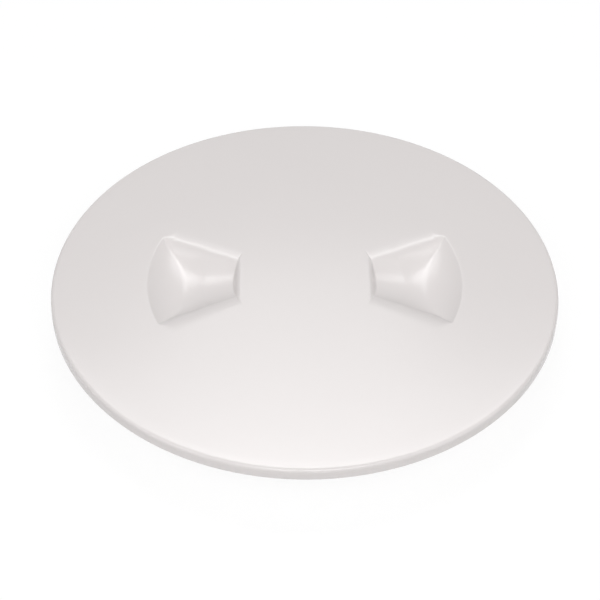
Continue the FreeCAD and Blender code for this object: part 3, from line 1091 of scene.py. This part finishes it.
def direction(azimuth: float, elevation: float) -> Vector:
    """Return the way to a place in the room, seen from the plate.

    Args:
        azimuth: the angle in degrees from straight behind the plate toward its right.
        elevation: the angle in degrees above the floor.

    Returns:
        The way, one metre long.
    """
    side, rise = math.radians(azimuth), math.radians(elevation)
    return Vector((math.sin(side) * math.cos(rise), math.cos(side) * math.cos(rise),
                   math.sin(rise)))


@dataclass(frozen=True)
class Softbox:
    """A rectangular studio light that faces the plate, with all its angles in degrees.

    Azimuth 0 is straight behind the plate and 90 is on its right. Width and height are how wide
    and how high the light looks from the plate.
    """

    name: str
    azimuth: float
    elevation: float
    width: float
    height: float
    radiance: float
    distance: float = 1.5

    def build(self) -> bpy.types.Object:
        """Hang the light at its place and turn it to the plate.

        Returns:
            The light's object.
        """
        lamp = bpy.data.lights.new(self.name, "AREA")
        lamp.shape = "RECTANGLE"
        lamp.size = 2 * self.distance * math.tan(math.radians(self.width / 2))
        lamp.size_y = 2 * self.distance * math.tan(math.radians(self.height / 2))
        lamp.energy = math.pi * lamp.size * lamp.size_y * self.radiance
        made = bpy.data.objects.new(self.name, lamp)
        bpy.context.scene.collection.objects.link(made)
        way = direction(self.azimuth, self.elevation)
        made.location = way * self.distance
        made.rotation_euler = (-way).to_track_quat("-Z", "Y").to_euler()
        return made


def studio_lights() -> tuple[Softbox, ...]:
    """Choose the lights: four behind the plate, one on each side and one in front.

    Returns:
        The softboxes.
    """
    return (
        Softbox("back_low_strip", 0.0, 46.0, width=16.0, height=8.0, radiance=2.0),
        Softbox("back_softbox", 0.0, 54.0, width=44.0, height=8.0, radiance=2.8),
        Softbox("back_high_softbox", 0.0, 62.0, width=44.0, height=8.0, radiance=4.8),
        Softbox("back_high_strip", 0.0, 62.0, width=16.0, height=8.0, radiance=5.0),
        Softbox("left_softbox", -115.0, 40.0, width=40.0, height=40.0, radiance=1.55),
        Softbox("right_softbox", 115.0, 40.0, width=40.0, height=40.0, radiance=1.55),
        Softbox("front_softbox", 180.0, 45.0, width=40.0, height=24.0, radiance=4.8),
    )


@dataclass
class Studio:
    """The plain white room: floor, backdrop, lights and camera.

    The camera stands at its angles and distance from the aim, which it puts a few pixels off the
    picture's middle.

    Attributes:
        plate_foot: height of the plate's lowest point.
        floor_gap: from there down to the floor.
        floor_grey: the floor's own grey, for the light that it sends to the plate.
        floor_light: how bright the lamps alone make a white floor.
        shadow_share: how much of the floor that the camera sees takes the lamps' light and shadow.
        world_light: strength of the room's grey light, where the backdrop's white is 1.
    """

    plate_foot: float
    lights: tuple[Softbox, ...]
    floor_gap: float = 0.0001
    floor_size: float = 6.0
    floor_grey: float = 0.8
    floor_light: float = 0.8
    shadow_share: float = 0.12
    world_light: float = 0.02
    aim: tuple[float, float, float] = (0.0, 0.0, 0.0052)
    aim_offset_pixels: tuple[float, float] = (4.74, 17.38)
    view_azimuth: float = -1.07
    view_elevation: float = 42.77
    view_distance: float = 0.8198
    view_roll: float = 0.45
    focal_pixels: float = 2064.0
    frame_pixels: float = 600.0
    sensor_width: float = 36.0
    clip_near: float = 0.05
    clip_far: float = 20.0

    def floor_material(self) -> bpy.types.Material:
        """Make the floor's white.

        To the camera the floor glows, and only a small share of it takes the lamps' light, which
        leaves a faint shadow under the plate. To the light that falls on the plate it is plain.

        Returns:
            The floor's material.
        """
        graph = ShaderGraph.material("floor_white")
        seen = graph.add("AddShader")
        glow = graph.add("Emission", Strength=1.0 - self.shadow_share * self.floor_light)
        soft = graph.add("BsdfDiffuse", Color=grey(self.shadow_share))
        graph.join(glow.outputs[0], seen.inputs[0])
        graph.join(soft.outputs[0], seen.inputs[1])
        plain = graph.add("BsdfDiffuse", Color=grey(self.floor_grey))
        mix = graph.add("MixShader")
        graph.join(graph.backdrop_rays(), mix.inputs[0])
        graph.join(plain.outputs[0], mix.inputs[1])
        graph.join(seen.outputs[0], mix.inputs[2])
        graph.finish(mix)
        return graph.owner

    def build_floor(self) -> bpy.types.Object:
        """Lay the floor, one flat square.

        Returns:
            The floor's object.
        """
        surface = SurfaceMesh("floor")
        half = self.floor_size / 2
        square = np.array([[(-half, -half), (-half, half)], [(half, -half), (half, half)]])
        height = np.full((2, 2, 1), self.plate_foot - self.floor_gap)
        surface.add_grid(np.concatenate([square, height], axis=-1), False)
        made = surface.build()
        made.data.materials.append(self.floor_material())
        made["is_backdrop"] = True
        return made

    def build_world(self) -> None:
        """Fill the room: a white backdrop that camera and mirrors see, and a weak grey light."""
        world = bpy.data.worlds.new("studio")
        bpy.context.scene.world = world
        graph = ShaderGraph.start(world)
        backdrop = graph.add("Background", Color=grey(1.0))
        strength = graph.between(graph.backdrop_rays(), self.world_light, 1.0)
        graph.join(strength, backdrop.inputs["Strength"])
        graph.finish(backdrop, "OutputWorld")

    def build_camera(self) -> bpy.types.Object:
        """Set up the camera, so that its aim falls where the photograph has it.

        Returns:
            The camera's object.
        """
        lens = bpy.data.cameras.new("camera")
        lens.sensor_width = self.sensor_width
        lens.lens = self.focal_pixels / self.frame_pixels * self.sensor_width
        lens.clip_start, lens.clip_end = self.clip_near, self.clip_far
        made = bpy.data.objects.new("camera", lens)
        bpy.context.scene.collection.objects.link(made)
        back = direction(180.0 - self.view_azimuth, self.view_elevation)
        straight = (-back).to_track_quat("-Z", "Y")
        toward = Vector((*self.aim_offset_pixels, -self.focal_pixels)).normalized()
        shifted = toward.rotation_difference(Vector((0.0, 0.0, -1.0)))
        rolled = Matrix.Rotation(math.radians(self.view_roll), 4, "Z").to_quaternion()
        made.location = Vector(self.aim) + back * self.view_distance
        made.rotation_mode = "QUATERNION"
        made.rotation_quaternion = straight @ rolled @ shifted
        bpy.context.scene.camera = made
        return made

    def build(self) -> None:
        """Set up the room."""
        self.build_floor()
        self.build_world()
        for light in self.lights:
            light.build()
        self.build_camera()
        bpy.context.scene.view_settings.view_transform = "Standard"


def write_sizes() -> None:
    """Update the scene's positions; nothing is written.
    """
    bpy.context.view_layer.update()


def main() -> None:
    """Build the cover, the ring, the seal and the studio, and report each."""
    logging.basicConfig(level=logging.INFO, format="%(message)s")
    clear_startup(set(frame["nodes"].values()) | set(frame["bodies"].values()))
    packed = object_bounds()
    foot, crown = packed[0].z, packed[1].z / MM
    cover = Cover(MouldedPlastic("cover_white_plastic"), CoverForm(crown_top=crown))
    ring = PackedPiece("mounting_ring", MouldedPlastic("ring_white_plastic"), MaterialSlot.RING)
    seal = PackedPiece("o_ring", SealRubber("black_seal_rubber"), MaterialSlot.SEAL)
    for part in (cover, ring, seal):
        made = part.build()
        LOG.info("%s: %d faces", made.name, len(made.data.polygons))
    studio = Studio(plate_foot=foot, lights=studio_lights())
    studio.build()
    LOG.info("studio: %d lights", len(studio.lights))
    write_sizes()


if __name__ == "__main__":
    main()
